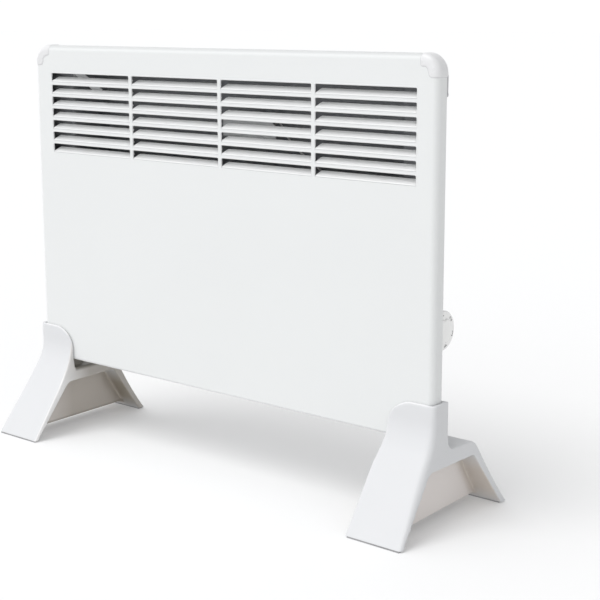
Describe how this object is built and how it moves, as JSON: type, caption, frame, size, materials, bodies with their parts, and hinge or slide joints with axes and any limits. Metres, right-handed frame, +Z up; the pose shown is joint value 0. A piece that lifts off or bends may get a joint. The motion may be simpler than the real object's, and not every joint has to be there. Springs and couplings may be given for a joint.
{
  "type": "convector heater",
  "caption": "Slim white panel convector heater with a louvred sheet-steel front, corner caps and a side thermostat dial, standing on moulded A-shaped feet.",
  "frame": {"origin": "on the floor, under the middle of the two feet's footprint", "axes": "+Z up, +Y from the louvred front to the back, +X to the side with the thermostat dial"},
  "size_m": [0.6264, 0.1863, 0.4796],
  "materials": {
    "panel_paint": "satin white powder coat, fine texture",
    "casing_steel": "satin light grey-white coat outside, dull grey inside",
    "cap_plastic": "white moulded plastic, half gloss",
    "foot_plastic": "white moulded plastic, fine spark texture",
    "pad_rubber": "matt dark grey",
    "screw_zinc": "bright zinc plate",
    "element_aluminium": "extruded, dull",
    "rod_steel": "heat-tinted stainless sheath",
    "terminal_brass": "plated",
    "bracket_steel": "galvanised sheet",
    "bushing_ceramic": "cream glazed ceramic",
    "shield_steel": "galvanised sheet, dull",
    "cutout_phenolic": "black phenolic moulding",
    "thermostat_phenolic": "dark phenolic moulding",
    "spindle_steel": "turned steel",
    "knob_plastic": "warm white, glossy, small dark numerals",
    "housing_plastic": "white moulded plastic",
    "copper": "bare copper",
    "block_plastic": "natural nylon",
    "gland_plastic": "dark grey nylon",
    "wire_grey": "light grey sleeving",
    "wire_blue": "blue sleeving",
    "wire_earth": "green sleeving with yellow stripe"
  },
  "bodies": {
    "heater": {"front_panel": "panel_paint", "rear_casing": "casing_steel", "corner_cap_left": "cap_plastic", "corner_cap_right": "cap_plastic", "foot_left": "foot_plastic", "foot_right": "foot_plastic", "foot_screws": "screw_zinc", "foot_pads": "pad_rubber", "casing_screws": "screw_zinc", "heating_profile": "element_aluminium", "heating_rod": "rod_steel", "element_terminals": "terminal_brass", "element_bracket_left": "bracket_steel", "element_bracket_right": "bracket_steel", "ceramic_bushings": "bushing_ceramic", "bracket_rivets": "screw_zinc", "heat_shield": "shield_steel", "corner_stay": "bracket_steel", "cutout_bracket": "bracket_steel", "overheat_cutout": "cutout_phenolic", "thermostat_body": "thermostat_phenolic", "dial_housing": "housing_plastic", "housing_screws": "screw_zinc", "sensor_bulb": "copper", "capillary_tube": "copper", "terminal_block": "block_plastic", "cable_gland": "gland_plastic", "gland_nut": "gland_plastic", "earth_screw": "terminal_brass", "live_wire": "wire_grey", "switched_wire": "wire_grey", "element_wire": "wire_grey", "neutral_wire": "wire_blue", "earth_wire": "wire_earth"},
    "dial": {"thermostat_knob": "knob_plastic", "thermostat_spindle": "spindle_steel"}
  },
  "joints": [
    {"name": "dial_turn", "type": "hinge", "parent": "heater", "child": "dial", "pos_m": [0.2582, 0.03, 0.1939], "axis": [1, 0, 0], "range_deg": [-60, 240]}
  ]
}
